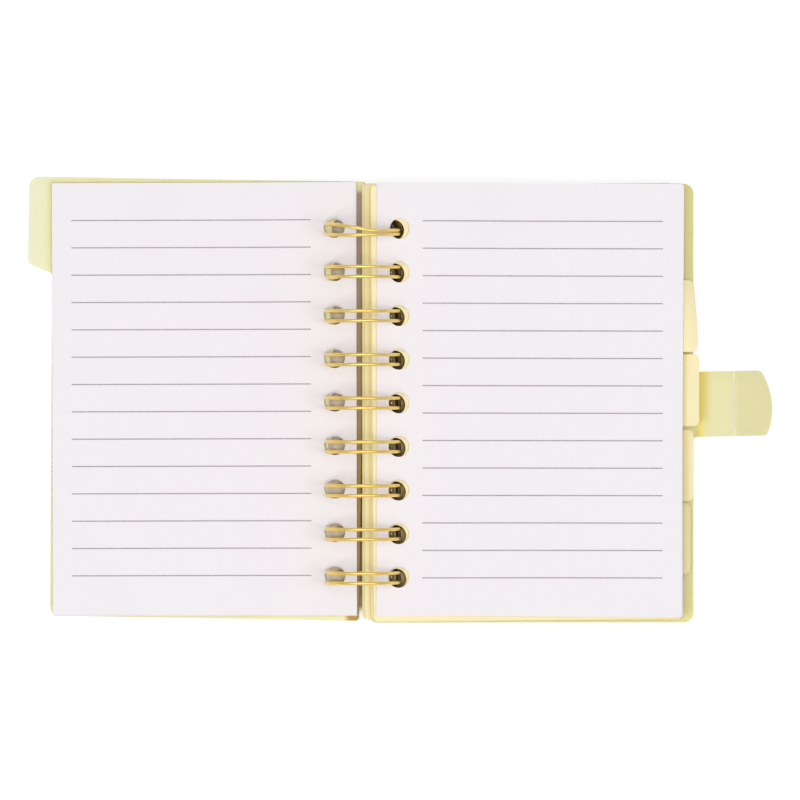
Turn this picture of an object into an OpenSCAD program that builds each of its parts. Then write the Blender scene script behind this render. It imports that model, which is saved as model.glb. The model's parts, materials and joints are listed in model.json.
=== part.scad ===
// Mini notebook bound by twin-loop wire, lying open on a table.
// The loop axis runs along Y. The back cover, the wire and the right-hand stack lie at +X,
// the front cover and the leaves already turned lie at -X, and the table is at Z = 0.

/* [Leaves] */
// Width of a leaf, from its punched edge to its fore edge
leaf_w = 89; // [75:0.5:100]
// Height of a leaf
leaf_h = 126; // [118:0.5:150]
// Thickness of one leaf
leaf_t = 0.1; // [0.08:0.01:0.12]
// Number of leaves in each of the five sections
section_leaves = 15; // [12:1:17]
// Leaves of the first section that are turned over to the left
turned_count = 10; // [4:1:11]

/* [Ruling] */
// Distance between ruled lines
line_pitch = 8; // [5:0.5:10]
// From the top edge of a leaf to its first line
line_top = 10.8; // [8:0.1:16]
// From the punched edge of a leaf to the start of a line
line_inner = 13.5; // [11:0.1:20]
// From the end of a line to the fore edge
line_outer = 5.4; // [3:0.1:12]
// Width of a printed line
line_w = 0.35; // [0.2:0.05:0.6]
// Depth that a printed line is sunk into the leaf
line_depth = 0.03; // [0.02:0.01:0.05]

/* [Punching] */
// Diameter of the punched holes
hole_d = 6.2; // [6:0.1:6.6]
// From the punched edge of a leaf to the middle of its holes
leaf_margin = 6.4; // [5:0.1:7.2]
// From the spine edge of a divider to the middle of its holes
divider_margin = 7; // [6:0.1:7.4]
// From the spine edge of the front cover to the middle of its holes
front_margin = 6.7; // [5:0.1:6.8]
// From the spine edge of the back cover to the middle of its holes
back_margin = 5.2; // [4.4:0.1:5.3]
// How far the middle of the hole row lies below the middle of a leaf
row_drop = 1; // [0:0.1:2]
// How far the middle of the hole row lies below the middle of a cover
cover_drop = 0.4; // [0:0.1:2]

/* [Wire binding] */
// Outer diameter of a closed loop
ring_od = 22.2; // [21.4:0.1:24]
// Diameter of the wire
wire_d = 1; // [0.9:0.05:1.1]
// Distance from one loop to the next
loop_pitch = 12.7; // [12:0.1:14]
// Distance between the two wires of a loop
pair_gap = 2.8; // [2.6:0.1:3.1]
// Radius of the bends where a loop leaves the seam
seam_bend = 1.1; // [0.9:0.1:1.3]
// From the seam line to the tip of a loop
tip_gap = 1.5; // [1.4:0.1:2]
// Lean of the bent wire in the topmost loop, in degrees
bent_lean = 3.8; // [0:0.1:4]

/* [Covers] */
// Thickness of the plastic covers
cover_t = 0.5; // [0.4:0.05:0.6]
// How much taller than the leaves the covers are, at the top and again at the bottom
cover_edge = 1.2; // [0.5:0.1:3]
// How far the back cover reaches past the divider tabs, with its holes under theirs
tab_guard = 1.4; // [0.5:0.1:3]
// How far the front cover reaches past the leaves, with its holes under theirs
front_edge = 1.2; // [0.5:0.1:3]
// How far the front cover's own tab reaches past the rest of that cover
front_tab_reach = 8.4; // [5:0.1:10]
// Height of that tab
front_tab_h = 28.2; // [20:0.1:28.2]
// Height of the slope at the lower edge of that tab
front_tab_slope = 2.8; // [1:0.1:5]
// Radius of the outer corners of the covers
cover_corner = 2.8; // [1.5:0.1:4]
// How far the covers climb beside the loops
cover_lift = 2.3; // [2.1:0.05:2.5]

/* [Strap] */
// Width of the closing strap
strap_w = 19; // [12:0.5:26]
// From the fore edge of the back cover to the end of the strap
strap_len = 23; // [19:0.5:30]
// Distance between the two creases, the thickness that the strap goes round
strap_fold = 11.6; // [9:0.1:14]
// Turn of the strap against the edge of the cover, in degrees
strap_turn = 1.2; // [0:0.1:2]
// How far the end of the strap is bowed
strap_bow = 2.4; // [1:0.1:4]
// Slant of the end of the strap, in degrees
strap_slant = 4; // [0:0.5:6]
// Width of a crease
crease_w = 0.8; // [0.4:0.1:1.2]
// Depth of a crease
crease_depth = 0.15; // [0.05:0.01:0.2]
// Width of the slit in the front cover that the strap tucks into
slit_gap = 1; // [0.8:0.1:2]
// From the fore edge of the front cover to the slit
slit_inset = 3; // [2:0.1:6]
// Play between the strap and each end of the slit
slit_play = 0.6; // [0.3:0.1:1.5]

/* [Dividers] */
// Thickness of a card divider
divider_t = 0.3; // [0.2:0.05:0.4]
// How far a divider reaches below the leaves
divider_skirt = 1.1; // [0:0.1:1.6]
// How far a divider's tab reaches past the leaves
tab_reach = 6; // [3:0.1:8]
// Height of a divider's tab
tab_h = 21; // [12:0.1:21.4]
// Distance from one tab to the next
tab_pitch = 21.7; // [21.5:0.1:22.5]
// From the top edge of a leaf to the top of the first tab
tab_top = 28.2; // [28.2:0.1:31]
// Radius of the corners of a tab
tab_corner = 1.8; // [0.8:0.1:3]
// Radius of the spine-side corners of a divider
divider_corner = 1.3; // [0.5:0.1:4]

/* [Hidden] */

// Colours of the materials
plastic = [0.86, 0.85, 0.55];
card = [0.98, 0.92, 0.72];
paper = [0.95, 0.93, 0.95];
gold = [0.91, 0.76, 0.37];

// Sections of leaves, with a divider below each but the last
section_count = 5;

// Thickness of a whole section, of the leaves turned over and of those left above divider 1
section_t = section_leaves * leaf_t;
turned_t = turned_count * leaf_t;
top_t = section_t - turned_t;

// Loops of the wire, and their middle line
ring_r = (ring_od - wire_d) / 2;
ring_z = ring_od / 2;
row_end = 11;
loop_count = floor((leaf_h - 2 * row_end) / loop_pitch) + 1;
function loop_y(i) = ((loop_count - 1) / 2 - i) * loop_pitch;

// Radius of the corners at the end of the strap, and of the covers' other small corners
strap_corner = 1.5;
small_corner = 1;

// The seam of the wire runs between the back cover and the last section
seam_clear = 0.1;
seam_z = cover_lift + cover_t + seam_clear + wire_d / 2;
seam_r = sqrt(ring_r ^ 2 + seam_bend ^ 2);
seam_angle = asin((seam_z - ring_z) / seam_r);
seam_x = seam_r * cos(seam_angle);
start_angle = seam_angle - atan(seam_bend / ring_r);
// Bends are this much thicker than the wire and run this far over its ends
bend_swell = 0.04;
bend_lap = 0.1;
// Length of the seam line beyond the last bend at each end
stub = 1.2;

// Sheets lie flat beside the loops up to flat_run, then fall to the table or the cover.
flat_run = 14;
cover_run = 40;
stack_run = 60;
fall_steps = 8;
stack_lift = cover_lift + wire_d + 2 * seam_clear;

// Distance of the loops' middle line from their axis at height z
function loop_x(z) = sqrt(ring_r ^ 2 - (ring_z - z) ^ 2);

// Play of the wires in the punched holes along Y, and along X where a sheet moved by dy
// along Y lies between the heights z and z + t
play_y = (hole_d - wire_d - pair_gap) / 2;
function play_x(z, t, dy) = sqrt(((hole_d - wire_d) / 2) ^ 2 - (pair_gap / 2 + abs(dy)) ^ 2)
    - wire_d / 2 * (ring_r / loop_x(z) - 1) - (loop_x(z + t) - loop_x(z)) / 2;

// How each sheet lies on the loops: [share of the play along X towards the fore edge,
// share of the play along Y, turn in degrees counter-clockwise seen from above]
front_lie = [0.05, 0.2, -0.9];
turned_lie = [0.68, 0.2, -0.28];
back_lie = [0.5, -0.33, 0];
leaves_5_lie = [-0.88, -0.17, 0];
divider_4_lie = [-0.92, 0.1, 0];
leaves_4_lie = [-0.3, -0.1, 0];
divider_3_lie = [-0.93, -0.1, 0];
leaves_3_lie = [-0.15, -0.1, 0];
divider_2_lie = [-0.37, -0.17, 0.15];
leaves_2_lie = [0.28, -0.25, 0.1];
divider_1_lie = [-0.66, -0.1, 0.1];
leaves_1_lie = [0, 0, 0];

// Distance from the loops' axis to the hole row of a sheet
function row_x(z, t, lie) = loop_x(z + t / 2) + lie[0] * play_x(z, t, lie[1] * play_y);

// Edges of the sheets, measured from the middle of their hole rows
leaf_top = leaf_h / 2 + row_drop;
leaf_bottom = leaf_top - leaf_h;
cover_top = leaf_h / 2 + cover_edge + cover_drop;
cover_bottom = cover_drop - leaf_h / 2 - cover_edge;
back_fore = leaf_w - leaf_margin + tab_reach + tab_guard;
front_fore = leaf_w - leaf_margin + front_edge;

// The frame's origin is in the middle of the open notebook
back_x = row_x(cover_lift, cover_t, back_lie);
front_x = row_x(cover_lift, cover_t, front_lie);
right_reach = back_x + back_fore + strap_len;
left_reach = front_x + front_fore + front_tab_reach + sin(front_lie[2]) * (cover_top - front_tab_h);
axis_x = (left_reach - right_reach) / 2;

// Share of the lift that is left at the fraction u of the fall
function fall(u) = 1 - u ^ 2 * (3 - 2 * u);

// Lower line of a sheet seen along Y, from beyond the spine to beyond the fore edge
function lie_line(z, lift, run) = concat(
    [[-ring_od, z + lift]],
    [for (i = [0 : fall_steps]) [flat_run + (run - flat_run) * i / fall_steps, z + lift * fall(i / fall_steps)]],
    [[2 * leaf_w, z]]
);
function raised(line, t) = [for (p = line) [p[0], p[1] + t]];
function band(line, t) = concat(line, [for (i = [len(line) - 1 : -1 : 0]) raised(line, t)[i]]);

// Outline with rounded corners: each corner is [x, y, radius]
function unit(v) = v / norm(v);
function spot(c) = [c[0], c[1]];
function turn_between(a, b) = (b - a) - 360 * round((b - a) / 360);
function corner_arc(a, b, c, r, n) =
    let (
        u = unit(a - b),
        v = unit(c - b),
        half = acos(u * v) / 2,
        middle = b + unit(u + v) * r / sin(half),
        from = b + u * r / tan(half) - middle,
        to = b + v * r / tan(half) - middle,
        start = atan2(from[1], from[0]),
        sweep = turn_between(start, atan2(to[1], to[0]))
    )
    [for (i = [0 : n]) middle + r * [cos(start + sweep * i / n), sin(start + sweep * i / n)]];
function rounded(corners, n = 6) =
    let (m = len(corners))
    [for (i = [0 : m - 1])
        let (b = corners[i])
        each b[2] == 0 ? [spot(b)]
            : corner_arc(spot(corners[(i + m - 1) % m]), spot(b), spot(corners[(i + 1) % m]), b[2], n)];

// Solid prism of an outline seen along Y, or seen from above
module side_prism(points) {
    rotate([90, 0, 0]) linear_extrude(2 * leaf_h, center = true) polygon(points);
}
module plan_prism() {
    translate([0, 0, -1]) linear_extrude(ring_od) children();
}

// Lays a plan on the loops for a sheet of thickness t whose underside is at z beside them
module laid(z, t, lie) {
    translate([row_x(z, t, lie), lie[1] * play_y, 0]) rotate(lie[2]) children();
}

// A punched sheet of thickness t whose underside is at z, lifted beside the loops
module sheet(z, t, lift, run, lie) {
    difference() {
        intersection() {
            side_prism(band(lie_line(z, lift, run), t));
            laid(z + lift, t, lie) plan_prism() children();
        }
        laid(z + lift, t, lie)
            for (i = [0 : loop_count - 1])
                translate([0, loop_y(i), -1]) cylinder(h = ring_od, d = hole_d, $fn = 48);
    }
}

module leaf_plan() {
    translate([-leaf_margin, leaf_bottom]) square([leaf_w, leaf_h]);
}

// Printed lines on the top leaf, as shallow grooves
line_count = floor((leaf_h - 2 * line_top) / line_pitch) + 1;
module ruling(z, t, lift, run, lie) {
    intersection() {
        side_prism(band(lie_line(z + t - line_depth, lift, run), 1));
        laid(z + lift, t, lie) plan_prism()
            for (i = [0 : line_count - 1])
                translate([line_inner - leaf_margin, leaf_top - line_top - i * line_pitch - line_w / 2])
                    square([leaf_w - line_inner - line_outer, line_w]);
    }
}

// Height of the underside of a piece of the right-hand stack, away from the loops:
// s sections and d dividers lie below it
function stack_z(s, d) = cover_t + s * section_t + d * divider_t;

module stack_leaves(below, t, lie) {
    color(paper) sheet(stack_z(below, below), t, stack_lift, stack_run, lie) leaf_plan();
}

// Card divider with the tab number k, counted from the top edge
module divider(k, lie) {
    fore = leaf_w - leaf_margin;
    top = leaf_top - tab_top - (k - 1) * tab_pitch;
    bottom = top - tab_h;
    outline = rounded([
        [-divider_margin, leaf_bottom - divider_skirt, divider_corner],
        [fore, leaf_bottom - divider_skirt, 0],
        [fore, bottom, 0],
        [fore + tab_reach, bottom, tab_corner],
        [fore + tab_reach, top, tab_corner],
        [fore, top, 0],
        [fore, leaf_top, 0],
        [-divider_margin, leaf_top, divider_corner]
    ]);
    below = section_count - k;
    color(card) sheet(stack_z(below, below - 1), divider_t, stack_lift, stack_run, lie) polygon(outline);
}

// A point turned about another one, keeping a third value such as a corner radius
function turned(p, a, c) = [
    c[0] + (p[0] - c[0]) * cos(a) - (p[1] - c[1]) * sin(a),
    c[1] + (p[0] - c[0]) * sin(a) + (p[1] - c[1]) * cos(a),
    p[2]
];

// Back cover, in one piece with its closing strap
module back_cover() {
    fore = back_fore;
    end = fore + strap_len;
    half_w = strap_w / 2;
    bow_r = (half_w ^ 2 + strap_bow ^ 2) / (2 * strap_bow);
    bow_a = asin(half_w / bow_r);
    strap_end = [for (i = [-3 : 3])
        let (y = bow_r * sin(bow_a * i / 3))
        [end - bow_r * (1 - cos(bow_a * i / 3)) - y * tan(strap_slant), y, abs(i) == 3 ? strap_corner : 0]];
    outline = rounded(concat(
        [[-back_margin, cover_bottom, cover_corner],
            [fore, cover_bottom, cover_corner],
            [fore, -half_w, small_corner]],
        [for (p = strap_end) turned(p, strap_turn, [fore, 0])],
        [[fore, half_w, small_corner],
            [fore, cover_top, cover_corner],
            [-back_margin, cover_top, cover_corner]]
    ));
    color(plastic) difference() {
        sheet(0, cover_t, cover_lift, cover_run, back_lie) polygon(outline);
        translate([back_x + fore, back_lie[1] * play_y, cover_t - crease_depth]) rotate(strap_turn)
            for (x = [0, strap_fold])
                translate([x, -strap_w, 0]) cube([crease_w, 2 * strap_w, cover_t]);
    }
}

// Front cover: full width only at its tab, so that the divider tabs show when it is closed
module front_cover() {
    body = front_fore;
    fore = body + front_tab_reach;
    tab_foot = cover_top - front_tab_h;
    slit_l = strap_w + 2 * slit_play;
    outline = rounded([
        [-front_margin, cover_bottom, small_corner],
        [body, cover_bottom, cover_corner],
        [body, tab_foot, small_corner],
        [fore, tab_foot + front_tab_slope, tab_corner],
        [fore, cover_top, cover_corner],
        [-front_margin, cover_top, small_corner]
    ]);
    color(plastic) mirror([1, 0, 0]) sheet(0, cover_t, cover_lift, cover_run, mirrored(front_lie))
        difference() {
            polygon(outline);
            translate([body - slit_inset - slit_gap, -slit_l / 2]) square([slit_gap, slit_l]);
        }
}

// Leaves of the first section that lie on the front cover
module turned_leaves() {
    lie = mirrored(turned_lie);
    color(paper) mirror([1, 0, 0]) difference() {
        sheet(cover_t, turned_t, cover_lift, cover_run, lie) leaf_plan();
        ruling(cover_t, turned_t, cover_lift, cover_run, lie);
    }
}

// A sheet on the left is drawn on the right and mirrored, so its turn changes sign
function mirrored(lie) = [lie[0], lie[1], -lie[2]];

// Leaves of the first section that are still on the right
module leaves_1() {
    z = stack_z(section_count - 1, section_count - 1);
    color(paper) difference() {
        sheet(z, top_t, stack_lift, stack_run, leaves_1_lie) leaf_plan();
        ruling(z, top_t, stack_lift, stack_run, leaves_1_lie);
    }
}

module wire_section(swell = 0) {
    circle(d = wire_d + swell, $fn = 16);
}

// Puts a child on the loops' middle line at the polar angle a: X outwards, Y along the spine
module on_loop(y, a) {
    translate([0, y, ring_z]) rotate([0, -a, 0]) translate([ring_r, 0, 0]) children();
}

// One wire of a loop, from the tip round to the seam
module loop_wire(y, lean, tip_angle) {
    translate([0, y, ring_z]) rotate([0, 0, -lean]) rotate([90, 0, 0]) rotate([0, 0, tip_angle])
        rotate_extrude(angle = start_angle + 360 - tip_angle, $fn = 72) translate([ring_r, 0]) wire_section();
}

function lap_angle(r) = bend_lap / r * 180 / PI;

// Half turn that joins the two wires of a loop at its tip
module loop_tip(y, tip_angle, r) {
    on_loop(y, tip_angle) rotate([0, 90, 0]) rotate([0, 0, -90 - lap_angle(r)])
        rotate_extrude(angle = 180 + 2 * lap_angle(r), $fn = 32) translate([r, 0]) wire_section(bend_swell);
}

// Quarter bend from a loop wire to the seam line, towards +Y or -Y
module seam_corner(y, side) {
    on_loop(y + side * seam_bend, start_angle) mirror([0, side > 0 ? 0 : 1, 0]) rotate([0, -90, 0])
        rotate([0, 0, -90 - lap_angle(seam_bend)])
            rotate_extrude(angle = 90 + 2 * lap_angle(seam_bend), $fn = 32)
                translate([seam_bend, 0]) wire_section(bend_swell);
}

module seam_line(y0, y1) {
    translate([seam_x, y0, seam_z]) rotate([-90, 0, 0]) cylinder(h = y1 - y0, d = wire_d, $fn = 16);
}

// Where the upper and the lower wire of loop i cross the seam.
// The upper wire of the topmost loop leans towards the lower one, so that its tip is narrower.
lean_offset = 0.5;
bent_tip = 0.55;
function wire_lean(i, side) = i == 0 && side > 0 ? bent_lean : 0;
function wire_y(i, side) = loop_y(i) + side * pair_gap / 2 - (i == 0 && side > 0 ? pair_gap / 2 - lean_offset : 0);
function wire_y_at(i, side, a) = wire_y(i, side) - ring_r * cos(a) * sin(wire_lean(i, side));

// Twin-loop wire: one continuous length bent into a comb and closed into loops
module wire_binding() {
    color(gold) union() {
        for (i = [0 : loop_count - 1]) {
            tip_r = pair_gap / 2 * (i == 0 ? bent_tip : 1);
            tip_angle = seam_angle + (tip_gap + tip_r) / ring_r * 180 / PI;
            for (side = [-1, 1]) {
                loop_wire(wire_y(i, side), wire_lean(i, side), tip_angle);
                seam_corner(wire_y_at(i, side, start_angle), side);
            }
            loop_tip((wire_y_at(i, 1, tip_angle) + wire_y_at(i, -1, tip_angle)) / 2, tip_angle,
                (wire_y_at(i, 1, tip_angle) - wire_y_at(i, -1, tip_angle)) / 2);
            seam_line(
                i < loop_count - 1 ? wire_y_at(i + 1, 1, start_angle) + seam_bend
                    : wire_y_at(i, -1, start_angle) - seam_bend - stub,
                wire_y_at(i, -1, start_angle) - seam_bend
            );
        }
        seam_line(wire_y_at(0, 1, start_angle) + seam_bend, wire_y_at(0, 1, start_angle) + seam_bend + stub);
    }
}

translate([axis_x, -row_drop, 0]) {
    front_cover();
    turned_leaves();
    wire_binding();
    back_cover();
    stack_leaves(0, section_t, leaves_5_lie);  // leaves_5
    divider(4, divider_4_lie);  // divider_4
    stack_leaves(1, section_t, leaves_4_lie);  // leaves_4
    divider(3, divider_3_lie);  // divider_3
    stack_leaves(2, section_t, leaves_3_lie);  // leaves_3
    divider(2, divider_2_lie);  // divider_2
    stack_leaves(3, section_t, leaves_2_lie);  // leaves_2
    divider(1, divider_1_lie);  // divider_1
    leaves_1();
}
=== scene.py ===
import json
import math
import random

import bpy
import numpy as np
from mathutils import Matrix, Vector
from mathutils.geometry import delaunay_2d_cdt


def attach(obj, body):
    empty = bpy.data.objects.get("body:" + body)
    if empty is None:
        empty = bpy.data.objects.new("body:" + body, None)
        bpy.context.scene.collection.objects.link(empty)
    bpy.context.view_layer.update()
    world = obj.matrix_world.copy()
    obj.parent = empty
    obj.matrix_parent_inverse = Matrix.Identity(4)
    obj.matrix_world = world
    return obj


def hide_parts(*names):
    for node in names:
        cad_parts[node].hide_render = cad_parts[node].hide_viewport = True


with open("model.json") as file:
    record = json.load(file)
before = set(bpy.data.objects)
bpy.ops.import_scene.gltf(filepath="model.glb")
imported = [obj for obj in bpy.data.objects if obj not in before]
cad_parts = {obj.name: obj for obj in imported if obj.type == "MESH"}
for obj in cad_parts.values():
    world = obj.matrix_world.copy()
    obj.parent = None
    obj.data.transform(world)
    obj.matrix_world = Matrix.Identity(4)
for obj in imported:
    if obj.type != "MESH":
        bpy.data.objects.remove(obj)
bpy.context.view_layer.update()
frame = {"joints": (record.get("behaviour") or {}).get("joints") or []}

# All sizes are in millimetres and are turned into metres where a mesh is made.
MM = 0.001

# Leaves, their ruling and their punching
LEAF_W = 89.0
LEAF_H = 126.0
LEAF_T = 0.1
LEAF_CORNER = 0.25
SECTION_LEAVES = 15
TURNED_LEAVES = 10
LINE_PITCH = 8.0
LINE_COUNT = 14
LINE_TOP = 11.0
LINE_INNER = 13.3
LINE_OUTER = 5.6
LINE_W = 0.34
HOLE_D = 6.2
LEAF_MARGIN = 6.4
DIVIDER_MARGIN = 7.4
TOP_DIVIDER_MARGIN = 6.5
FRONT_MARGIN = 6.7
BACK_MARGIN = 5.2
ROW_DROP = 1.0
COVER_DROP = 0.4

# Wire binding
RING_OD = 22.2
WIRE_D = 1.0
LOOP_PITCH = 12.7
LOOPS = 9
PAIR_GAP = 2.8
SEAM_BEND = 1.1
TIP_GAP = 1.5
SEAM_STUB = 1.2
SPLAY = 0.1

# Covers and strap
COVER_T = 0.5
COVER_EDGE = 1.2
TAB_GUARD = 1.4
FRONT_EDGE = 1.2
FRONT_TAB_REACH = 8.0
FRONT_SLANT = 0.9
FRONT_TAB_H = 28.2
FRONT_TAB_SLOPE = 2.8
COVER_CORNER = 2.8
COVER_LIFT = 2.3
STRAP_W = 19.0
STRAP_LEN = 23.0
STRAP_FOLD = 11.6
STRAP_TURN = 1.2
STRAP_BOW = 2.4
STRAP_SLANT = 4.0
STRAP_CORNER = 1.5
COVER_ROOT = 1.0
BOW_STEPS = 6
CREASE_W = 0.8
CREASE_DEPTH = 0.15
SLIT_GAP = 1.0
SLIT_INSET = 3.0
SLIT_PLAY = 0.6

# Dividers
DIVIDER_T = 0.3
DIVIDER_SKIRT = 1.1
TAB_REACH = 6.0
TAB_H = 21.0
TAB_PITCH = 21.7
TAB_TOP = 28.2
TAB_CORNER = 1.8
TAB_BEND = 38.0
DIVIDER_CORNER = 1.3
DIVIDER_FORE_CORNER = 0.3
TAB_ROOT = 0.25

# The sheets lie flat beside the loops up to FLAT_RUN, then fall to the table or the cover.
FLAT_RUN = 14.0
COVER_RUN = 40.0
STACK_RUN = 60.0
SEAM_CLEAR = 0.1
STACK_LIFT = COVER_LIFT + WIRE_D + 2 * SEAM_CLEAR

RING_R = (RING_OD - WIRE_D) / 2
RING_Z = RING_OD / 2
SECTION_T = SECTION_LEAVES * LEAF_T
LEAF_TOP = LEAF_H / 2 + ROW_DROP
LEAF_BOTTOM = LEAF_TOP - LEAF_H
COVER_TOP = LEAF_H / 2 + COVER_EDGE + COVER_DROP
COVER_BOTTOM = COVER_DROP - LEAF_H / 2 - COVER_EDGE
BACK_FORE = LEAF_W - LEAF_MARGIN + TAB_REACH + TAB_GUARD
FRONT_FORE = LEAF_W - LEAF_MARGIN + FRONT_EDGE
AXIS_X = frame["joints"][0]["pos_m"][0] / MM
AXIS_Y = -ROW_DROP


def loop_x(z):
    """Distance of the loops' middle line from their axis at height z."""
    return math.sqrt(RING_R**2 - (RING_Z - z) ** 2)


def loop_y(i):
    return ((LOOPS - 1) / 2 - i) * LOOP_PITCH


def fall(x, lift, run):
    """Lift that is left at the distances x from the loops' axis."""
    u = np.clip((np.abs(x) - FLAT_RUN) / (run - FLAT_RUN), 0, 1)
    return lift * (1 - u * u * (3 - 2 * u))


# Outlines


def corner_arc(a, b, c, r, n):
    """Points of a corner at b, between a and c, rounded with radius r."""
    a, b, c = (np.array(p[:2], float) for p in (a, b, c))
    u = (a - b) / np.linalg.norm(a - b)
    v = (c - b) / np.linalg.norm(c - b)
    half = math.acos(float(u @ v)) / 2
    middle = b + (u + v) / np.linalg.norm(u + v) * r / math.sin(half)
    start = b + u * r / math.tan(half) - middle
    end = b + v * r / math.tan(half) - middle
    a0 = math.atan2(start[1], start[0])
    sweep = (math.atan2(end[1], end[0]) - a0 + math.pi) % math.tau - math.pi
    steps = [a0 + sweep * i / n for i in range(n + 1)]
    return [tuple(middle + r * np.array([math.cos(s), math.sin(s)])) for s in steps]


def rounded(corners, n=8):
    """Outline of corners (x, y, radius)."""
    points = []
    for i, b in enumerate(corners):
        if b[2] == 0:
            points.append((b[0], b[1]))
        else:
            points += corner_arc(corners[i - 1], b, corners[(i + 1) % len(corners)], b[2], n)
    return points


def turned(p, degrees, centre):
    a = math.radians(degrees)
    x, y = p[0] - centre[0], p[1] - centre[1]
    return (
        centre[0] + x * math.cos(a) - y * math.sin(a),
        centre[1] + x * math.sin(a) + y * math.cos(a),
        *p[2:],
    )


def leaf_outline():
    left, right = -LEAF_MARGIN, LEAF_W - LEAF_MARGIN
    return rounded(
        [
            (left, LEAF_BOTTOM, LEAF_CORNER),
            (right, LEAF_BOTTOM, LEAF_CORNER),
            (right, LEAF_TOP, LEAF_CORNER),
            (left, LEAF_TOP, LEAF_CORNER),
        ],
        3,
    )


def divider_outline(k):
    """Divider with the tab number k, counted from the top edge."""
    left = -TOP_DIVIDER_MARGIN if k == 1 else -DIVIDER_MARGIN
    fore = LEAF_W - LEAF_MARGIN
    top = LEAF_TOP - TAB_TOP - (k - 1) * TAB_PITCH
    bottom = top - TAB_H
    foot = LEAF_BOTTOM - DIVIDER_SKIRT
    return rounded(
        [
            (left, foot, DIVIDER_CORNER),
            (fore, foot, DIVIDER_FORE_CORNER),
            (fore, bottom, TAB_ROOT),
            (fore + TAB_REACH, bottom, TAB_CORNER),
            (fore + TAB_REACH, top, TAB_CORNER),
            (fore, top, TAB_ROOT),
            (fore, LEAF_TOP, DIVIDER_FORE_CORNER),
            (left, LEAF_TOP, DIVIDER_CORNER),
        ]
    )


def back_outline():
    fore = BACK_FORE
    end = fore + STRAP_LEN
    half = STRAP_W / 2
    bow_r = (half**2 + STRAP_BOW**2) / (2 * STRAP_BOW)
    bow_a = math.asin(half / bow_r)
    strap = []
    for i in range(-BOW_STEPS, BOW_STEPS + 1):
        a = bow_a * i / BOW_STEPS
        y = bow_r * math.sin(a)
        x = end - bow_r * (1 - math.cos(a)) - y * math.tan(math.radians(STRAP_SLANT))
        point = (x, y, STRAP_CORNER if abs(i) == BOW_STEPS else 0)
        strap.append(turned(point, STRAP_TURN, (fore, 0)))
    return rounded(
        [
            (-BACK_MARGIN, COVER_BOTTOM, COVER_CORNER),
            (fore, COVER_BOTTOM, COVER_CORNER),
            (fore, -half, COVER_ROOT),
            *strap,
            (fore, half, COVER_ROOT),
            (fore, COVER_TOP, COVER_CORNER),
            (-BACK_MARGIN, COVER_TOP, COVER_CORNER),
        ]
    )


def front_outline():
    body = FRONT_FORE
    fore = body + FRONT_TAB_REACH
    foot = COVER_TOP - FRONT_TAB_H
    return rounded(
        [
            (-FRONT_MARGIN, COVER_BOTTOM, COVER_ROOT),
            (body, COVER_BOTTOM, COVER_CORNER),
            (body + FRONT_SLANT, foot, COVER_ROOT),
            (fore, foot + FRONT_TAB_SLOPE, TAB_CORNER),
            (fore, COVER_TOP, COVER_CORNER),
            (-FRONT_MARGIN, COVER_TOP, COVER_ROOT),
        ]
    )


def slit_outline():
    right = FRONT_FORE - SLIT_INSET
    left = right - SLIT_GAP
    half = STRAP_W / 2 + SLIT_PLAY
    r = SLIT_GAP * 0.45
    return rounded([(left, -half, r), (right, -half, r), (right, half, r), (left, half, r)], 4)


def hole_outlines(segments):
    ring = [math.tau * i / segments for i in range(segments)]
    r = HOLE_D / 2
    return [
        [(r * math.cos(a), loop_y(i) + r * math.sin(a)) for a in ring] for i in range(LOOPS)
    ]


# Sheets


def inset(points, amount):
    """Outline moved inwards by amount, or outwards where it is negative. Runs counter-clockwise."""
    p = np.array(points)
    ahead = np.roll(p, -1, 0) - p
    ahead /= np.linalg.norm(ahead, axis=1)[:, None]
    behind = np.roll(ahead, 1, 0)
    normal = np.stack([-(ahead + behind)[:, 1], (ahead + behind)[:, 0]], 1)
    normal /= np.linalg.norm(normal, axis=1)[:, None]
    cos_half = np.abs((normal * np.stack([-ahead[:, 1], ahead[:, 0]], 1)).sum(1))
    return p + normal * (amount / np.maximum(cos_half, 0.5))[:, None]


def dense(points, step):
    """Outline with no stretch longer than step."""
    out = []
    for a, b in zip(points, points[1:] + points[:1]):
        n = max(1, math.ceil(math.dist(a, b) / step))
        out += [(a[0] + (b[0] - a[0]) * i / n, a[1] + (b[1] - a[1]) * i / n) for i in range(n)]
    return out


def inside(points, outline):
    """Which of the points lie inside an outline."""
    x, y = points[:, 0], points[:, 1]
    found = np.zeros(len(points), bool)
    for a, b in zip(outline, np.roll(outline, -1, 0)):
        crosses = (a[1] > y) != (b[1] > y)
        rise = b[1] - a[1]
        cut = a[0] + (y - a[1]) * (b[0] - a[0]) / (rise if rise else 1)
        found ^= crosses & (x < cut)
    return found


# Distance of a plan's inner points from its edges
GRID_INSET = 0.6


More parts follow.
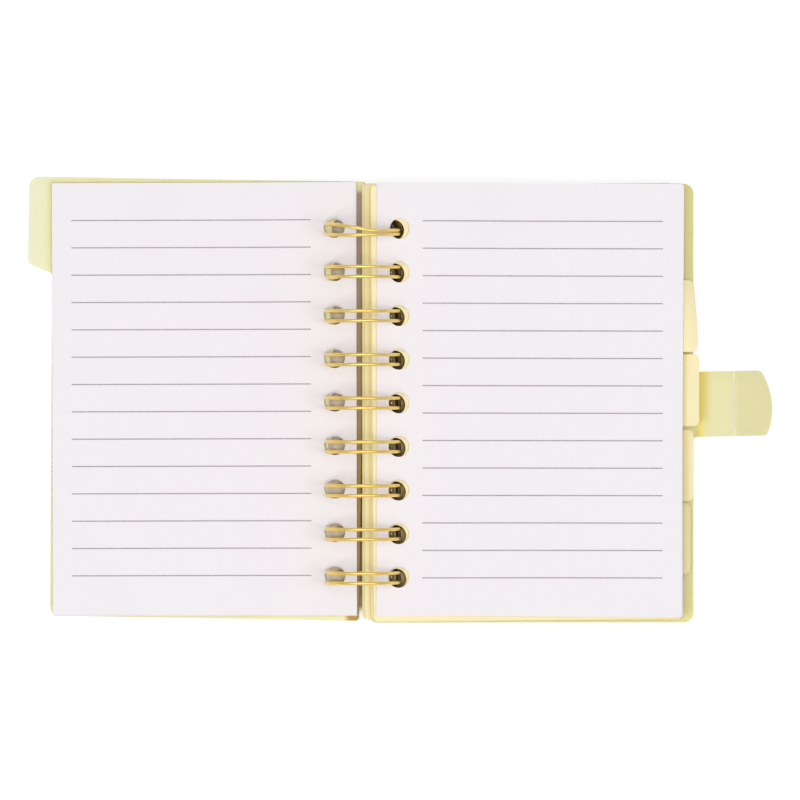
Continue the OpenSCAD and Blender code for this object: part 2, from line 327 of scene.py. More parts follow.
class Plan:
    """A sheet's face seen from above: outline and openings, filled with triangles. Its inner points stand in
    the columns given, in rows step apart. rings holds the index of each ring's points, and points their
    places."""

    def __init__(self, outline, openings, edge, columns, step):
        outline = dense(outline, step)
        self.rings = []
        self.full = [np.array(outline)] + [np.array(o) for o in openings]
        shrunk = [inset(outline, edge)] + [inset(o, -edge) for o in openings]
        points, edges = [], []
        for ring in shrunk:
            first = len(points)
            points += [tuple(p) for p in ring]
            index = list(range(first, len(points)))
            edges += list(zip(index, index[1:] + index[:1]))
            self.rings.append(index)
        low, high = shrunk[0].min(0), shrunk[0].max(0)
        rows = np.arange(low[1] + step / 2, high[1], step)
        grid = np.array([(x, y) for x in columns if low[0] < x < high[0] for y in rows])
        if len(grid):
            keep = inside(grid, inset(outline, edge + GRID_INSET))
            for opening in openings:
                keep &= ~inside(grid, inset(opening, -edge - GRID_INSET))
            points += [tuple(p) for p in grid[keep]]
        co, _, faces, *_ = delaunay_2d_cdt([Vector(p) for p in points], edges, [], 0, 1e-6)
        self.points = np.array([c[:] for c in co])
        faces = np.array(faces)
        middle = self.points[faces].mean(1)
        keep = inside(middle, shrunk[0])
        for ring in shrunk[1:]:
            keep &= ~inside(middle, ring)
        self.faces = faces[keep]


class Shape:
    """Gathers vertices, faces and leaf coordinates of one mesh."""

    def __init__(self):
        self.co, self.uv, self.faces, self.count = [], [], [], 0

    def add(self, co, uv, faces):
        self.co.append(co)
        self.uv.append(uv)
        self.faces += [tuple(int(v) + self.count for v in f) for f in faces]
        self.count += len(co)

    def object(self, name, material, sharp):
        mesh = bpy.data.meshes.new(name)
        co = np.concatenate(self.co) * MM
        mesh.from_pydata(co.tolist(), [], self.faces)
        uv = np.concatenate(self.uv)
        layer = mesh.uv_layers.new(name="sheet")
        loops = np.zeros(len(mesh.loops), int)
        mesh.loops.foreach_get("vertex_index", loops)
        layer.data.foreach_set("uv", uv[loops].astype(np.float32).ravel())
        mesh.validate()
        mesh.shade_smooth()
        mesh.set_sharp_from_angle(angle=math.radians(sharp))
        mesh.materials.append(material)
        obj = bpy.data.objects.new(name, mesh)
        bpy.context.scene.collection.objects.link(obj)
        return obj


def add_sheet(shape, plan, lie, side, height, thickness, edge=0.0, steps=3, top=None, bend=None):
    """Adds a sheet to a shape. lie is (row_x, dy, turn) and side 1 at the right or -1 at the left.
    height gives its underside from the distance to the loops' axis, top a change of its upper face,
    and bend the shift along X and Z of a part that is bent over."""
    row_x, dy, turn = lie
    a = math.radians(turn * side)

    def placed(p):
        x = row_x + p[:, 0] * math.cos(a) - p[:, 1] * math.sin(a)
        y = dy + p[:, 0] * math.sin(a) + p[:, 1] * math.cos(a)
        return x, y

    def layer(p, share):
        x, y = placed(p)
        z = height(x, y) + thickness * share
        if top is not None:
            z = z + top(p, x, y) * share
        if bend is not None:
            across, up = bend(p)
            x, z = x + across, z + up
        return np.stack([AXIS_X + side * x, AXIS_Y + y, z], 1)

    n = len(plan.points)
    co = [layer(plan.points, 0.0), layer(plan.points, 1.0)]
    uv = [plan.points, plan.points]
    flip = side < 0
    bottom = [tuple(f[::-1]) if not flip else tuple(f) for f in plan.faces]
    upper = [tuple(f + n) if not flip else tuple(f[::-1] + n) for f in plan.faces]
    faces = bottom + upper
    count = 2 * n
    share_edge = min(0.5, edge / thickness)
    for ring, full in zip(plan.rings, plan.full):
        inner = plan.points[ring]
        rows = [list(ring)]
        if edge > 0:
            for up in (False, True):
                for k in range(1, steps + 1) if not up else range(steps, 0, -1):
                    t = math.pi / 2 * k / steps
                    p = inner + (full - inner) * math.sin(t)
                    share = share_edge * (1 - math.cos(t))
                    co.append(layer(p, 1 - share if up else share))
                    uv.append(p)
                    rows.append(list(range(count, count + len(ring))))
                    count += len(ring)
        rows.append([i + n for i in ring])
        for low, high in zip(rows, rows[1:]):
            for i in range(len(ring)):
                j = (i + 1) % len(ring)
                quad = (low[i], low[j], high[j], high[i])
                faces.append(quad[::-1] if flip else quad)
    shape.add(np.concatenate(co), np.concatenate(uv), faces)


# Materials


class Nodes:
    """Builds a material's node tree with short calls."""

    def __init__(self, name):
        self.material = bpy.data.materials.new(name)
        self.material.use_nodes = True
        self.tree = self.material.node_tree
        self.tree.nodes.clear()
        self.out = self.tree.nodes.new("ShaderNodeOutputMaterial")

    def add(self, kind, values=None, **settings):
        node = self.tree.nodes.new(kind)
        for key, value in settings.items():
            setattr(node, key, value)
        for key, value in (values or {}).items():
            self.set(node, key, value)
        return node

    def set(self, node, key, value):
        socket = node.inputs[key]
        if isinstance(value, bpy.types.NodeSocket):
            self.tree.links.new(value, socket)
        else:
            socket.default_value = value

    def math(self, operation, *values):
        node = self.add("ShaderNodeMath", operation=operation)
        for i, value in enumerate(values):
            self.set(node, i, value)
        return node.outputs[0]

    def off(self, value, centre):
        """How far a value is from a centre."""
        return self.math("ABSOLUTE", self.math("SUBTRACT", value, centre))

    def noise(self, vector, scale, detail=2.0, rough=0.5):
        node = self.add(
            "ShaderNodeTexNoise",
            {"Vector": vector, "Scale": scale, "Detail": detail, "Roughness": rough},
        )
        return node.outputs["Fac"]

    def range(self, value, low, high, to_low=0.0, to_high=1.0, smooth=False):
        node = self.add("ShaderNodeMapRange", interpolation_type="SMOOTHSTEP" if smooth else "LINEAR")
        for key, number in enumerate((value, low, high, to_low, to_high)):
            self.set(node, key, number)
        return node.outputs[0]

    def mix(self, share, a, b):
        node = self.add("ShaderNodeMix", data_type="RGBA")
        self.set(node, 0, share)
        self.set(node, 6, a)
        self.set(node, 7, b)
        return node.outputs[2]

    def bump(self, height, distance, strength):
        node = self.add("ShaderNodeBump", {"Height": height, "Distance": distance, "Strength": strength})
        return node.outputs[0]

    def place(self):
        return self.add("ShaderNodeTexCoord").outputs["Object"]

    def open_share(self, distance):
        """How open a place is to its surroundings within a distance: 0 closed in, 1 free."""
        return self.add("ShaderNodeAmbientOcclusion", {"Distance": distance}, samples=16).outputs["AO"]

    def painted_nook_shade(self, colour, distance, stops):
        """Painted shade: colour that changes where its surroundings within a distance close it in, standing
        for the shade that falls there. Each stop gives the open share at which its own colour starts and is
        full, that colour, and its greatest part."""
        share = self.open_share(distance)
        for start, full, code, part in stops:
            colour = self.mix(self.range(share, start, full, 0.0, part, smooth=True), colour, rgb(code))
        return colour

    def surface(self, shader):
        self.tree.links.new(shader, self.out.inputs["Surface"])
        return self.material


def rgb(code):
    """Linear colour of an sRGB hex code."""
    channels = [int(code[i : i + 2], 16) / 255 for i in (0, 2, 4)]
    linear = [c / 12.92 if c <= 0.04045 else ((c + 0.055) / 1.055) ** 2.4 for c in channels]
    return (*linear, 1.0)


# Distances, in metres, within which the surroundings close in a nook of the sheets and of the films and give
# it painted shade
SHEET_NOOK = 0.006
FILM_NOOK = 0.008


def paper_material():
    """Uncoated paper with ruled lines. The sheet's own coordinates are in millimetres from its hole row."""
    m = Nodes("ruled_paper")
    uv = m.add("ShaderNodeUVMap", uv_map="sheet").outputs[0]
    split = m.add("ShaderNodeSeparateXYZ", {0: uv})
    across, along = split.outputs[0], split.outputs[1]
    place = m.place()
    steps = m.math("DIVIDE", m.math("SUBTRACT", LEAF_TOP - LINE_TOP, along), LINE_PITCH)
    nearest = m.math("MINIMUM", m.math("MAXIMUM", m.math("ROUND", steps), 0.0), LINE_COUNT - 1.0)
    distance = m.math("MULTIPLY", m.off(steps, nearest), LINE_PITCH)
    wobble = m.math("MULTIPLY", m.math("SUBTRACT", m.noise(place, 2500.0), 0.5), 0.06)
    half = LINE_W / 2
    line = m.range(m.math("ADD", distance, wobble), half + 0.03, half - 0.03, smooth=True)
    start = LINE_INNER - LEAF_MARGIN
    end = LEAF_W - LEAF_MARGIN - LINE_OUTER
    line = m.math("MULTIPLY", line, m.range(across, start - 0.1, start + 0.1))
    line = m.math("MULTIPLY", line, m.range(across, end + 0.1, end - 0.1))
    line = m.math("MULTIPLY", line, m.range(m.noise(place, 900.0), 0.25, 0.6, 0.82, 1.0))
    fibres = m.noise(place, 1400.0, 5.0, 0.65)
    cloud = m.noise(place, 60.0, 3.0)
    paper = m.mix(m.range(fibres, 0.3, 0.7), rgb("F1ECF0"), rgb("F5F0F3"))
    paper = m.mix(m.range(cloud, 0.35, 0.65, 0.0, 0.25), paper, rgb("EFEAEF"))
    colour = m.mix(line, paper, rgb("A59DA3"))
    # Painted shade: the paper turns dark brown where it is deeply closed in, in the holes and the gutter.
    colour = m.painted_nook_shade(colour, SHEET_NOOK, [(0.5, 0.25, "5E4000", 1.0)])
    shader = m.add(
        "ShaderNodeBsdfPrincipled",
        {
            "Base Color": colour,
            "Roughness": m.range(fibres, 0.3, 0.7, 0.82, 0.95),
            "Normal": m.bump(fibres, 0.00002, 0.6),
            "Specular IOR Level": 0.25,
        },
    )
    return m.surface(shader.outputs[0])


def card_material():
    """Smooth cream card with faint fibres, and painted shade: warmer yellow where it is a little closed in
    and dark brown deep in nooks.
    """
    m = Nodes("divider_card")
    place = m.place()
    fibres = m.noise(place, 900.0, 6.0, 0.6)
    cloud = m.noise(place, 90.0, 3.0)
    colour = m.mix(m.range(fibres, 0.3, 0.7), rgb("FBEEBC"), rgb("FDF2C6"))
    colour = m.mix(m.range(cloud, 0.35, 0.65, 0.0, 0.35), colour, rgb("F8E9B2"))
    # Painted shade: warm yellow where the card is a little closed in, dark brown deep in the holes.
    colour = m.painted_nook_shade(colour, SHEET_NOOK, [(0.95, 0.55, "FFEDA8", 0.9), (0.34, 0.14, "604400", 1.0)])
    shader = m.add(
        "ShaderNodeBsdfPrincipled",
        {
            "Base Color": colour,
            "Roughness": m.range(fibres, 0.3, 0.7, 0.6, 0.75),
            "Normal": m.bump(fibres, 0.00003, 0.5),
            "Specular IOR Level": 0.35,
        },
    )
    return m.surface(shader.outputs[0])


# Height along the loops, in metres, over which the painted shade of the spine edge fades to the rim
RIM_FADE = (0.0613, 0.0603)
# Painted shadow of the second divider's tab on the strap: deeper yellow beside the tab, paler again where the
# strap is most closed in.
STRAP_PAINTED_SHADOW = [(0.93, 0.8, "FFE03C", 1.0), (0.72, 0.58, "FCF4C0", 1.0)]


def plastic_material(name, tones, painted_nook_shade, creases=(), spine=None):
    """Translucent yellow-green film, finely matt. creases are (x, slope) lines across the strap where it is
    folded and paler, and beyond the last one the strap is painted a little deeper in colour, as painted
    shade.
    Where there are creases, the body off the strap is painted a uniform deeper yellow for the shade beside
    the stack, and the strap carries a painted shadow beside the second divider's tab. The film also gets
    painted shade where its surroundings close it in. Towards its spine edge the film has a painted shade,
    deeper on its inner face, up to the rim above the leaves: spine gives the distances to the loops' axis
    where that starts and is full."""
    m = Nodes(name)
    place = m.place()
    grain = m.noise(place, 4200.0, 4.0, 0.6)
    cloud = m.noise(place, 45.0, 3.0)
    colour = m.mix(m.range(cloud, 0.35, 0.65), rgb(tones[0]), rgb(tones[1]))
    split = m.add("ShaderNodeSeparateXYZ", {0: place})
    # Painted shade: off the strap the back film's body is painted a uniform deeper yellow for the shade
    # beside the stack, and the strap gets the painted shadow of the second divider's tab.
    if creases:
        strap = m.range(split.outputs[0], creases[0][0] - 0.0004, creases[0][0] + 0.0004)
        shaded = m.painted_nook_shade(colour, FILM_NOOK, STRAP_PAINTED_SHADOW)
        colour = m.mix(strap, rgb("F2E694"), shaded)
    # Painted shade: the strap beyond its last crease is painted a little deeper.
    for x, slope in creases[-1:]:
        line = m.math("SUBTRACT", split.outputs[0], m.math("MULTIPLY", split.outputs[1], slope))
        colour = m.mix(m.range(line, x - 0.0004, x + 0.0012, 0.0, 0.7), colour, rgb("E0D69C"))
    # Painted shade where the film's surroundings close it in.
    colour = m.painted_nook_shade(colour, FILM_NOOK, painted_nook_shade)
    # Painted shade of the gutter: the inner face near the spine is painted olive below and taupe above.
    if spine:
        beside = m.off(split.outputs[0], AXIS_X * MM)
        below_rim = m.range(split.outputs[1], *RIM_FADE)
        normal = m.add("ShaderNodeSeparateXYZ", {0: m.add("ShaderNodeTexCoord").outputs["Normal"]})
        inner_face = m.range(normal.outputs[2], 0.1, 0.6)
        shaded = m.math("MULTIPLY", m.range(beside, spine[0], spine[1]), below_rim)
        shaded = m.math("MULTIPLY", shaded, inner_face)
        shade = m.mix(m.range(split.outputs[1], -0.03, 0.055), rgb("B48C00"), rgb("B2926E"))
        colour = m.mix(shaded, colour, shade)
    off_strap = m.off(split.outputs[1], AXIS_Y * MM)
    on_strap = m.range(off_strap, STRAP_W / 2 * MM + 0.0012, STRAP_W / 2 * MM + 0.0008)
    for x, slope in creases:
        line = m.math("SUBTRACT", split.outputs[0], m.math("MULTIPLY", split.outputs[1], slope))
        off = m.off(line, x)
        frayed = m.math("ADD", off, m.range(m.noise(place, 1500.0, 3.0), 0.3, 0.7, -0.00006, 0.00006))
        crease = m.math("MULTIPLY", m.range(frayed, 0.00022, 0.0001, 0.0, 0.8, smooth=True), on_strap)
        colour = m.mix(crease, colour, rgb("FAF7DC"))
    shader = m.add(
        "ShaderNodeBsdfPrincipled",
        {
            "Base Color": colour,
            "Roughness": m.range(grain, 0.3, 0.7, 0.34, 0.46),
            "Normal": m.bump(grain, 0.00003, 0.5),
            "Subsurface Weight": 0.5,
            "Subsurface Radius": (1.0, 0.9, 0.45),
            "Subsurface Scale": 0.002,
            "Specular IOR Level": 0.45,
        },
    )
    return m.surface(shader.outputs[0])


def wire_material():
    """Gold-coloured coating on drawn steel wire."""
    m = Nodes("gold_wire")
    place = m.place()
    fine = m.noise(place, 1800.0, 4.0, 0.6)
    colour = m.mix(m.range(m.noise(place, 300.0, 3.0), 0.35, 0.65), rgb("FAD670"), rgb("FCDC7C"))
    shader = m.add(
        "ShaderNodeBsdfPrincipled",
        {
            "Base Color": colour,
            "Metallic": 0.55,
            "Roughness": m.range(fine, 0.3, 0.7, 0.3, 0.4),
            "Normal": m.bump(fine, 0.00001, 0.4),
            "Coat Weight": 0.3,
            "Coat Roughness": 0.2,
        },
    )
    return m.surface(shader.outputs[0])


# Pieces

# How much of its share of a block's height a sheet fills, and the radius of the sheets' edges
LEAF_FILL = 0.86
DIVIDER_FILL = 0.97
DIVIDER_ROUND = 0.06
COVER_ROUND = 0.12
# Play that a sheet always keeps on the wires, and how far the leaves of a section fan by chance: as a share
# of their play across, along the loops in millimetres, and in degrees
KEPT_PLAY = 0.12
FAN_SHARE = 0.12
FAN_DY = 0.16
FAN_TURN = 0.09

PAPER = paper_material()
CARD = card_material()
rng = random.Random(7)


def play_x(z, dy):
    """Free play of the wires along X in a thin sheet's holes at height z."""
    half = (HOLE_D - WIRE_D) / 2
    return math.sqrt(half**2 - (PAIR_GAP / 2 + abs(dy)) ** 2) - WIRE_D / 2 * (RING_R / loop_x(z) - 1)


def free_x(z, dy, turn):
    """What is left of that play for the whole row of a sheet that is turned."""
    spread = math.sin(math.radians(abs(turn))) * loop_y(0)
    return max(0.0, play_x(z, dy) - spread - KEPT_PLAY)


def lie_at(z, share, dy, turn):
    """Place of a sheet on the loops at height z. Its row is moved by a share of its free play."""
    return loop_x(z) + share * free_x(z, dy, turn), dy, turn


def stack_height(z, lift, run):
    return lambda x, y: z + fall(x, lift, run)


LEAF_COLUMNS = [*np.arange(-3, 8, 4), *np.arange(9, 54, 2.5), *np.arange(58, 84, 9)]
leaf_plan = Plan(leaf_outline(), hole_outlines(28), 0.0, LEAF_COLUMNS, 14.0)


def leaves(name, body, count, bottom, lift, run, side, lies):
    """A block of loose leaves, from its lowest leaf up. lies(i, z) gives the place of leaf i at height z."""
    shape = Shape()
    sheet_t = LEAF_T * LEAF_FILL
    for i in range(count):
        z = bottom + i * LEAF_T
        lie = lies(i, z + lift + LEAF_T / 2)
        add_sheet(shape, leaf_plan, lie, side, stack_height(z, lift, run), sheet_t)
    obj = shape.object(name, PAPER, 40)
    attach(obj, body)
    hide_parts(name)
    return obj


def jitter(share, dy, turn):
    """Lies of loose leaves that fan by a little chance about one lie."""

    def lies(i, z):
        return lie_at(
            z,
            max(-1.0, min(1.0, share + rng.uniform(-FAN_SHARE, FAN_SHARE))),
            dy + rng.uniform(-FAN_DY, FAN_DY),
            turn + rng.uniform(-FAN_TURN, FAN_TURN),
        )

    return lies


def stack_z(sections, dividers):
    return COVER_T + sections * SECTION_T + dividers * DIVIDER_T


# Place of the top leaf at the left, and the shifts of the leaves under it, lowest leaf first. The lower ones
# lie a little lower down the page.
TURNED_TOP = (8.15, 0.62, 0.15)
TURNED_DY = [-0.05, -0.2, 0.08, -0.08, 0.2, 0.35, 0.1, 0.45, 0.5]
# Share of play, shift and turn of each leaf at the top of the right-hand stack, lowest leaf first
TOP_LIES = [
    (-0.1, -0.1, 0.05),
    (0.1, 0.06, -0.06),
    (-0.05, -0.05, 0.02),
    (0.12, 0.03, -0.35),
    (0.0, 0.12, -0.1),
]


def turned_lies(i, z):
    if i == TURNED_LEAVES - 1:
        return TURNED_TOP
    dy = TURNED_DY[i]
    turn = 0.12 + rng.uniform(-0.08, 0.08)
    return min(8.1 + rng.uniform(-0.06, 0.12), loop_x(z) + free_x(z, dy, turn) - SPLAY), dy, turn


def top_lies(i, z):
    return lie_at(z, *TOP_LIES[i])


leaves("turned_leaves", "front", TURNED_LEAVES, COVER_T, COVER_LIFT, COVER_RUN, -1, turned_lies)
leaves("leaves_5", "back", SECTION_LEAVES, stack_z(0, 0), STACK_LIFT, STACK_RUN, 1, jitter(-0.86, -0.2, 0.33))
leaves("leaves_4", "back", SECTION_LEAVES, stack_z(1, 1), STACK_LIFT, STACK_RUN, 1, jitter(-0.3, -0.12, 0.0))
leaves("leaves_3", "back", SECTION_LEAVES, stack_z(2, 2), STACK_LIFT, STACK_RUN, 1, jitter(-0.15, -0.12, 0.0))
leaves("leaves_2", "back", SECTION_LEAVES, stack_z(3, 3), STACK_LIFT, STACK_RUN, 1, jitter(0.0, -0.3, 0.1))
leaves("leaves_1", "back", SECTION_LEAVES - TURNED_LEAVES, stack_z(4, 4), STACK_LIFT, STACK_RUN, 1, top_lies)


def tab_bend(p):
    """The first divider's tab is bent over, more so towards its top."""
    fold = LEAF_W - LEAF_MARGIN + 1.0
    bottom = LEAF_TOP - TAB_TOP - TAB_H
    angle = math.radians(TAB_BEND) * np.clip((p[:, 1] - bottom) / TAB_H, 0, 1)
    beyond = np.clip(p[:, 0] - fold, 0, None)
    return beyond * (np.cos(angle) - 1), -beyond * np.sin(angle)


def divider(k, share, dy, turn, bend=None):
    below = 5 - k
    z = stack_z(below, below - 1)
    shape = Shape()
    columns = LEAF_COLUMNS if bend is None else [*LEAF_COLUMNS, *np.arange(82, 88.5, 0.8)]
    plan = Plan(divider_outline(k), hole_outlines(36), DIVIDER_ROUND, columns, 12.0 if bend is None else 3.0)
    lie = lie_at(z + STACK_LIFT + DIVIDER_T / 2, share, dy, turn)
    height = stack_height(z, STACK_LIFT, STACK_RUN)
    add_sheet(shape, plan, lie, 1, height, DIVIDER_T * DIVIDER_FILL, DIVIDER_ROUND, 2, bend=bend)
    obj = shape.object(f"divider_{k}_card", CARD, 40)
    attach(obj, "back")
    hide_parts(f"divider_{k}")


# Share of play, shift and turn of each divider
divider(4, -0.92, 0.12, 0.0)
divider(3, -0.93, -0.12, 0.0)
divider(2, -0.37, -0.05, 0.15)
divider(1, -0.95, -0.5, 0.4, tab_bend)


def cover(name, body, plan, lie, side, material, top=None):
    shape = Shape()
    height = stack_height(0.0, COVER_LIFT, COVER_RUN)
    add_sheet(shape, plan, lie, side, height, COVER_T, COVER_ROUND, 4, top)
    obj = shape.object(name, material, 40)
    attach(obj, body)
    return obj


COVER_COLUMNS = [*np.arange(-3, 6, 4), *np.arange(7, 36, 2.0), *np.arange(40, 88, 8)]
crease_x = [BACK_FORE + CREASE_W / 2, BACK_FORE + STRAP_FOLD + CREASE_W / 2]
strap_columns = [c + d for c in crease_x for d in (-1.2, -0.6, -0.4, -0.2, 0, 0.2, 0.4, 0.6, 1.2)]


def crease_dip(p, x, y):
    """The creases across the strap are pressed into its upper face."""
    dip = np.zeros(len(p))
    for centre in crease_x:
        off = np.abs(p[:, 0] - math.tan(math.radians(-STRAP_TURN)) * p[:, 1] - centre)
        on_strap = np.abs(p[:, 1]) < STRAP_W / 2 + 0.6
        dip -= CREASE_DEPTH * np.clip(1 - off / (CREASE_W / 2), 0, 1) * on_strap
    return dip


# Distance of each cover's hole row from the loops' axis, its shift along them, and its turn
back_plan = Plan(back_outline(), hole_outlines(40), COVER_ROUND, [*COVER_COLUMNS, *strap_columns], 6.0)
back_lie = (loop_x(COVER_LIFT + COVER_T / 2) + 0.57, -0.4, 0.0)
back_creases = [
    ((AXIS_X + back_lie[0] + x) * MM, math.tan(math.radians(-STRAP_TURN))) for x in crease_x
]
# Painted shade of the back film: paler yellow where it is half closed in beside the stack, darker olive deep
# in nooks.
back_painted_shade = [(0.75, 0.5, "F6EAA0", 1.0), (0.2, 0.06, "C8A63C", 0.85)]
back_plastic = plastic_material("cover_film_back", ("EEE5A6", "F1E9AE"), back_painted_shade, back_creases)
back = cover("back_cover_film", "back", back_plan, back_lie, 1, back_plastic, crease_dip)
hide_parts("back_cover")

front_openings = [*hole_outlines(40), slit_outline()]
front_plan = Plan(front_outline(), front_openings, COVER_ROUND, COVER_COLUMNS, 8.0)
front_lie = (loop_x(COVER_LIFT + COVER_T / 2) + 0.46, 0.24, -0.9)
# Painted shade of the front film: deeper yellow along the leaves' edges, dark olive deep in nooks. Its tones
# are painted lighter than the back film's, as a lit copy of the same film.
front_painted_shade = [(0.99, 0.9, "F2E69A", 0.8), (0.45, 0.15, "94761A", 0.85)]
front_painted_lighter_tones = ("FEF8C4", "FFFACC")
front_plastic = plastic_material("cover_film_front", front_painted_lighter_tones, front_painted_shade, spine=(0.0055, 0.004))
front = cover("front_cover_film", "front", front_plan, front_lie, -1, front_plastic)
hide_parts("front_cover")


# Wire

SEAM_Z = COVER_LIFT + COVER_T + SEAM_CLEAR + WIRE_D / 2
SEAM_R = math.hypot(RING_R, SEAM_BEND)
SEAM_ANGLE = math.asin((SEAM_Z - RING_Z) / SEAM_R)
START_ANGLE = SEAM_ANGLE - math.atan(SEAM_BEND / RING_R)


def loop_point(y, angle):
    return Vector((RING_R * math.cos(angle), y, RING_Z + RING_R * math.sin(angle)))


LEG_STEPS = 84
BEND_STEPS = 8
TIP_STEPS = 12
WIRE_SEGMENTS = 20
# How far a loop sways along the row by chance, and the angle, each way, over which the bent loop's offsets
# are evened out
LOOP_SKEW = 0.08
BENT_EVEN = 0.12
# Share of the tip's reach that is left where the topmost loop is pinched
PINCH = 0.5
# The topmost loop is bent: the offsets of its upper and lower wire from the middle of the loop, from its
# tip over the top and the left-hand side to the seam.
BENT_ANGLES = [-0.75, 0.0, 0.9, 1.3, 1.64, 2.07, 2.6, math.pi, 3.9, 5.4]
BENT_UP = [0.2, -0.42, -0.76, -0.88, -0.14, 0.64, 1.3, 1.55, 1.3, 0.5]
BENT_LOW = [-1.3, -1.5, -1.82, -1.95, -2.06, -2.1, -1.8, -1.57, -1.5, -1.4]


def bent_y(side, angle):
    table = BENT_UP if side > 0 else BENT_LOW
    return float(np.mean(np.interp([angle - BENT_EVEN, angle, angle + BENT_EVEN], BENT_ANGLES, table)))


def wire_path():
    """The middle line of the wire, one length: out along each loop to its tip and back, then along
    the seam."""
    points = []
    wave = random.Random(3)
    for i in reversed(range(LOOPS)):
        bent = i == 0
        tip_r = PAIR_GAP / 2 * (PINCH if bent else 1)
        tip_angle = SEAM_ANGLE + (TIP_GAP + PAIR_GAP / 2) / RING_R
        skew = wave.uniform(-LOOP_SKEW, LOOP_SKEW)
        full = START_ANGLE + math.tau - tip_angle

        def wire_y(side, angle):
            if bent:
                return loop_y(i) + bent_y(side, angle)
            splay = SPLAY * float(np.interp(angle, [1.2, math.pi, 4.4, 5.4], [0, 1, 1, 0]))
            sway = skew * math.sin(math.pi * (angle - tip_angle) / full)
            return loop_y(i) + side * (PAIR_GAP / 2 + splay) + sway

        for side in (-1, 1):
            leg = []
            for k in range(LEG_STEPS + 1):
                angle = START_ANGLE + math.tau - full * k / LEG_STEPS
                leg.append(loop_point(wire_y(side, angle), angle))
            root_y = wire_y(side, START_ANGLE + math.tau)
            corner = []
            for k in range(BEND_STEPS):
                t = math.pi / 2 * k / BEND_STEPS
                angle = START_ANGLE + (SEAM_BEND * math.cos(t)) / RING_R
                corner.append(loop_point(root_y + side * SEAM_BEND * (1 - math.sin(t)), angle))
            leg = corner + leg
            if side < 0:
                points += leg
                gap = (wire_y(1, tip_angle) - wire_y(-1, tip_angle)) / 2
                middle = (wire_y(1, tip_angle) + wire_y(-1, tip_angle)) / 2
                for k in range(1, TIP_STEPS):
                    t = math.pi * k / TIP_STEPS
                    reach = tip_r / RING_R * math.sin(t)
                    points.append(loop_point(middle - gap * math.cos(t), tip_angle - reach))
            else:
                points += leg[::-1]
    stub = Vector((0, SEAM_STUB, 0))
    return [points[0] - stub, *points, points[-1] + stub]


def tube(points, radius, segments):
    """Tube along points, with rounded ends. Its rings turn as little as they can."""
    co, faces = [], []
    tangents = []
    for i in range(len(points)):
        ahead = points[min(i + 1, len(points) - 1)] - points[max(i - 1, 0)]
        tangents.append(ahead.normalized())
    normal = tangents[0].orthogonal().normalized()
    rings = []
    for i, (p, t) in enumerate(zip(points, tangents)):
        normal = (normal - t * normal.dot(t)).normalized()
        other = t.cross(normal)
        ends = []
        if i == 0:
            ends = [(-math.cos(a) * radius * 0.5, math.sin(a)) for a in (0.35, 0.9)]
        ends.append((0.0, 1.0))
        if i == len(points) - 1:
            ends += [(math.cos(a) * radius * 0.5, math.sin(a)) for a in (0.9, 0.35)]
        for shift, share in ends:
            rings.append(len(co))
            for k in range(segments):
                a = math.tau * k / segments
                d = normal * math.cos(a) + other * math.sin(a)
                co.append(p + t * shift + d * radius * share)
    for low, high in zip(rings, rings[1:]):
        for k in range(segments):
            j = (k + 1) % segments
            faces.append((low + k, low + j, high + j, high + k))
    faces.append(tuple(range(segments))[::-1])
    faces.append(tuple(rings[-1] + k for k in range(segments)))
    return co, faces


wire_co, wire_faces = tube(wire_path(), WIRE_D / 2, WIRE_SEGMENTS)
wire_shape = Shape()
wire_array = np.array([(AXIS_X + c.x, AXIS_Y + c.y, c.z) for c in wire_co])
wire_shape.add(wire_array, np.zeros((len(wire_array), 2)), wire_faces)
wire = wire_shape.object("gold_wire_comb", wire_material(), 60)
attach(wire, "back")
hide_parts("wire_binding")


# Floor, light and camera


# Where the ground lies in the shade of the covers: distances from the loops' axis and from the middle of
# their row at which the shade starts to fade and has gone, and the open share of ground from half covered
# to free
SHADE_ACROSS = (0.008, 0.0135)
SHADE_ALONG = (0.0605, 0.0625)
SHADE_OPEN = (0.55, 0.8)
SHADE_NOOK = 0.01
GROUND_GLOW = 0.82


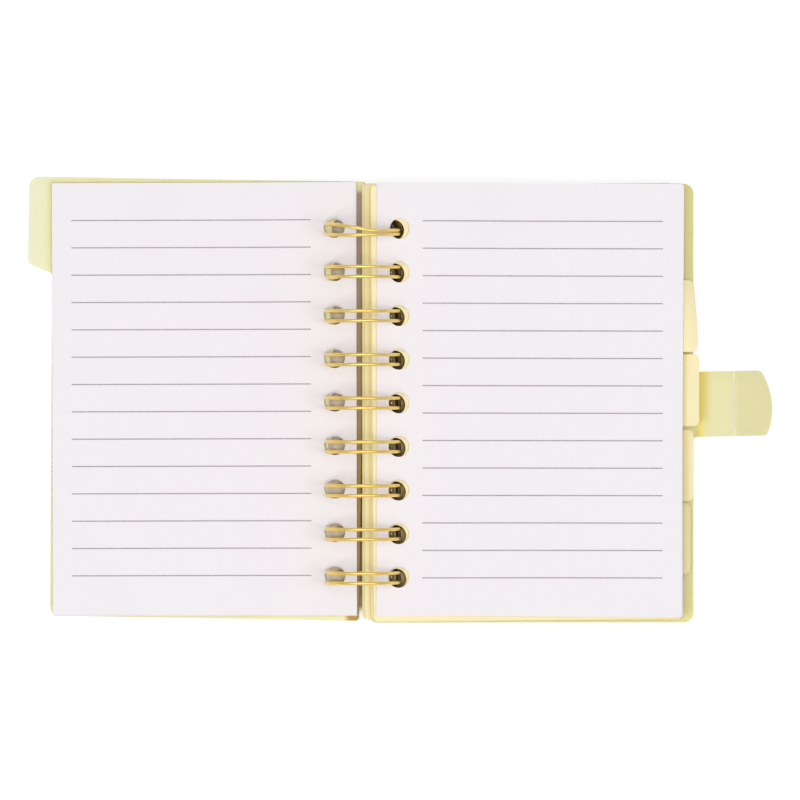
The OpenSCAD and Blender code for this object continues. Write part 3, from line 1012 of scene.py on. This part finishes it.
def floor_material():
    """White ground: nearly shadowless to the camera, plain white to the light. Under the binding it is in the
    shade of the covers, where they lie over it, and there its colour is painted: a warm painted light at the
    left for light through the yellow film, and a dark brown painted shade at the right under the stack."""
    m = Nodes("white_ground")
    rays = m.add("ShaderNodeLightPath")
    seen = m.math("MAXIMUM", rays.outputs["Is Camera Ray"], rays.outputs["Is Glossy Ray"])
    seen = m.math("MAXIMUM", seen, rays.outputs["Is Transmission Ray"])
    plain = m.add("ShaderNodeBsdfDiffuse", {"Color": (0.85, 0.85, 0.85, 1)}).outputs[0]
    split = m.add("ShaderNodeSeparateXYZ", {0: m.place()})
    beside = m.range(m.off(split.outputs[0], AXIS_X * MM), *SHADE_ACROSS, smooth=True)
    above = m.range(m.math("ABSOLUTE", split.outputs[1]), *SHADE_ALONG)
    uncovered = m.range(m.open_share(SHADE_NOOK), *SHADE_OPEN, smooth=True)
    open_ground = m.math("MAXIMUM", m.math("MAXIMUM", beside, above), uncovered)
    # Painted light and shade on the ground under the covers: warm at the left, dark brown at the right.
    right = m.range(split.outputs[0], AXIS_X * MM - 0.001, AXIS_X * MM + 0.001)
    covered = m.mix(right, (0.86, 0.74, 0.57, 1), (0.3, 0.2, 0.08, 1))
    painted_ground_tint = m.mix(open_ground, covered, (0.22, 0.22, 0.22, 1))
    shade = m.add("ShaderNodeBsdfDiffuse", {"Color": painted_ground_tint}).outputs[0]
    strength = m.math("MULTIPLY", open_ground, GROUND_GLOW)
    glow = m.add("ShaderNodeEmission", {"Color": (1, 1, 1, 1), "Strength": strength}).outputs[0]
    white = m.add("ShaderNodeAddShader", {0: shade, 1: glow}).outputs[0]
    return m.surface(m.add("ShaderNodeMixShader", {0: seen, 1: plain, 2: white}).outputs[0])


def area_light(name, place, size, power):
    """Square light that faces the middle of the object."""
    data = bpy.data.lights.new(name, "AREA")
    data.shape = "SQUARE"
    data.size = size
    data.energy = power
    obj = bpy.data.objects.new(name, data)
    obj.location = place
    obj.rotation_euler = (Vector((0, 0, 0)) - Vector(place)).to_track_quat("-Z", "Y").to_euler()
    bpy.context.scene.collection.objects.link(obj)


bpy.ops.mesh.primitive_plane_add(size=6, location=(0, 0, -0.0002))
floor = bpy.context.object
floor.name = "ground"
floor.data.materials.append(floor_material())

WORLD_LIGHT = 0.34
world = bpy.data.worlds.new("studio")
bpy.context.scene.world = world
world.use_nodes = True
world.node_tree.nodes["Background"].inputs[0].default_value = (1.0, 1.0, 1.0, 1.0)
world.node_tree.nodes["Background"].inputs[1].default_value = WORLD_LIGHT

area_light("overhead", (0.0, 0.0, 2.6), 1.1, 22.0)
area_light("key", (-0.65, -0.3, 1.4), 0.5, 5.5)
area_light("fill", (0.7, -0.15, 1.4), 0.5, 4.5)

# The camera's height, the width that it sees and the height at which it sees it, in metres, and its
# sensor's width in millimetres
CAMERA_HEIGHT = 2.0
FIELD = 0.2336
SUBJECT_Z = 0.006
SENSOR = 36.0
camera_data = bpy.data.cameras.new("camera")
camera_data.sensor_width = SENSOR
camera_data.lens = SENSOR * (CAMERA_HEIGHT - SUBJECT_Z) / FIELD
camera_data.clip_start = 0.1
camera_data.clip_end = 20.0
camera = bpy.data.objects.new("camera", camera_data)
camera.location = (0.0, -0.0001, CAMERA_HEIGHT)
bpy.context.scene.collection.objects.link(camera)
bpy.context.scene.camera = camera
bpy.context.scene.view_settings.view_transform = "Standard"
